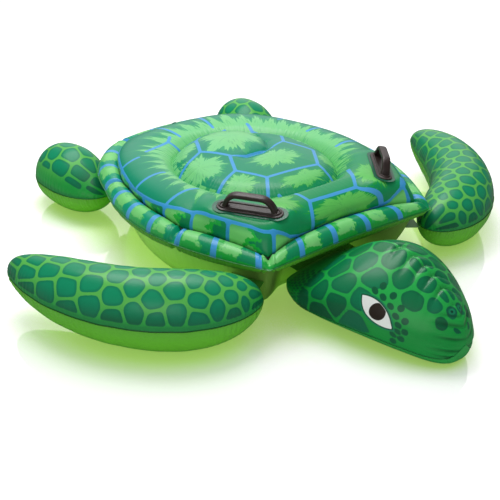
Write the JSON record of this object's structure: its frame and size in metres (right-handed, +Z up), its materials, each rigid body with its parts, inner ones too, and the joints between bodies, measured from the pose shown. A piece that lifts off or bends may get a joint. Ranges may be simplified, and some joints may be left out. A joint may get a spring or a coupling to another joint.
{
  "type": "inflatable pool float",
  "caption": "Ride-on inflatable in the shape of a sea turtle: domed shell with rim tube, nodding head, flapping flippers, grab handles and plugged air valves.",
  "frame": {"origin": "on the floor plane under the middle of the turtle, on its mirror plane, 330 mm behind the front corners of the rim", "axes": "+X towards the turtle's left side, -Y towards the head, +Z up; z = 0 is the floor the float rests on"},
  "size_m": [1.4898, 1.403, 0.302],
  "materials": {
    "printed_vinyl": "glossy printed soft vinyl, teal and green leaf print with blue plate lines",
    "scale_vinyl": "glossy printed soft vinyl, dark green scales on light green",
    "lime_vinyl": "glossy plain lime-green soft vinyl",
    "inner_web_vinyl": "plain translucent vinyl strip inside the air chambers",
    "handle_moulding": "dark brown-black satin moulded plastic",
    "valve_plastic": "milky flexible plastic, slightly glossy"
  },
  "bodies": {
    "hull": {"dome_top_panel": "printed_vinyl", "hull_bottom_panel": "lime_vinyl", "rim_top_panel": "printed_vinyl", "rim_bottom_panel": "lime_vinyl", "rim_chamber_web": "inner_web_vinyl", "pad_ring_web": "inner_web_vinyl", "pad_crease_web": "inner_web_vinyl", "neck_weld_tab": "lime_vinyl", "front_flipper_weld_tab_left": "lime_vinyl", "rear_flipper_weld_tab_left": "lime_vinyl", "handle_left": "handle_moulding", "handle_patch_left": "printed_vinyl", "front_flipper_weld_tab_right": "lime_vinyl", "rear_flipper_weld_tab_right": "lime_vinyl", "handle_right": "handle_moulding", "handle_patch_right": "printed_vinyl", "main_valve_seat": "valve_plastic", "rim_valve_seat": "valve_plastic"},
    "head": {"head_top_panel": "scale_vinyl", "head_bottom_panel": "lime_vinyl"},
    "front_flipper_left": {"front_flipper_top_left": "scale_vinyl", "front_flipper_bottom_left": "lime_vinyl"},
    "front_flipper_right": {"front_flipper_top_right": "scale_vinyl", "front_flipper_bottom_right": "lime_vinyl"},
    "rear_flipper_left": {"rear_flipper_top_left": "scale_vinyl", "rear_flipper_bottom_left": "lime_vinyl"},
    "rear_flipper_right": {"rear_flipper_top_right": "scale_vinyl", "rear_flipper_bottom_right": "lime_vinyl"},
    "main_valve_stem_body": {"main_valve_stem": "valve_plastic", "main_valve_check_flap": "valve_plastic", "main_valve_strap": "valve_plastic"},
    "main_valve_plug_body": {"main_valve_plug": "valve_plastic"},
    "rim_valve_stem_body": {"rim_valve_stem": "valve_plastic", "rim_valve_check_flap": "valve_plastic", "rim_valve_strap": "valve_plastic"},
    "rim_valve_plug_body": {"rim_valve_plug": "valve_plastic"}
  },
  "joints": [
    {"name": "head_nod", "type": "hinge", "parent": "hull", "child": "head", "pos_m": [0, -0.235, 0.066], "axis": [-1, 0, 0], "range_deg": [-6, 6], "stiffness_Nm_per_rad": 3},
    {"name": "front_flipper_left_flap", "type": "hinge", "parent": "hull", "child": "front_flipper_left", "pos_m": [0.2985, -0.254, 0.101], "axis": [-0.414, -0.9103, 0], "range_deg": [-8, 14], "stiffness_Nm_per_rad": 3},
    {"name": "front_flipper_right_flap", "type": "hinge", "parent": "hull", "child": "front_flipper_right", "pos_m": [-0.2985, -0.254, 0.101], "axis": [-0.414, 0.9103, 0], "range_deg": [-8, 14], "stiffness_Nm_per_rad": 3},
    {"name": "rear_flipper_left_flap", "type": "hinge", "parent": "hull", "child": "rear_flipper_left", "pos_m": [0.266, 0.4076, 0.084], "axis": [0.529, -0.8486, 0], "range_deg": [-6, 8], "stiffness_Nm_per_rad": 2},
    {"name": "rear_flipper_right_flap", "type": "hinge", "parent": "hull", "child": "rear_flipper_right", "pos_m": [-0.266, 0.4076, 0.084], "axis": [0.529, 0.8486, 0], "range_deg": [-6, 8], "stiffness_Nm_per_rad": 2},
    {"name": "main_valve_pull", "type": "slide", "parent": "hull", "child": "main_valve_stem_body", "axis": [0, 0.9011, 0.4337], "range_m": [0, 0.012]},
    {"name": "main_valve_plug_open", "type": "hinge", "parent": "main_valve_stem_body", "child": "main_valve_plug_body", "pos_m": [-0.014, 0.5022, 0.20333], "axis": [0, -0.4337, 0.9011], "range_deg": [0, 120]},
    {"name": "rim_valve_pull", "type": "slide", "parent": "hull", "child": "rim_valve_stem_body", "axis": [0, 0.4493, -0.8934], "range_m": [0, 0.012]},
    {"name": "rim_valve_plug_open", "type": "hinge", "parent": "rim_valve_stem_body", "child": "rim_valve_plug_body", "pos_m": [-0.014, 0.543, 0.12783], "axis": [0, 0.8934, 0.4493], "range_deg": [0, 120]}
  ]
}
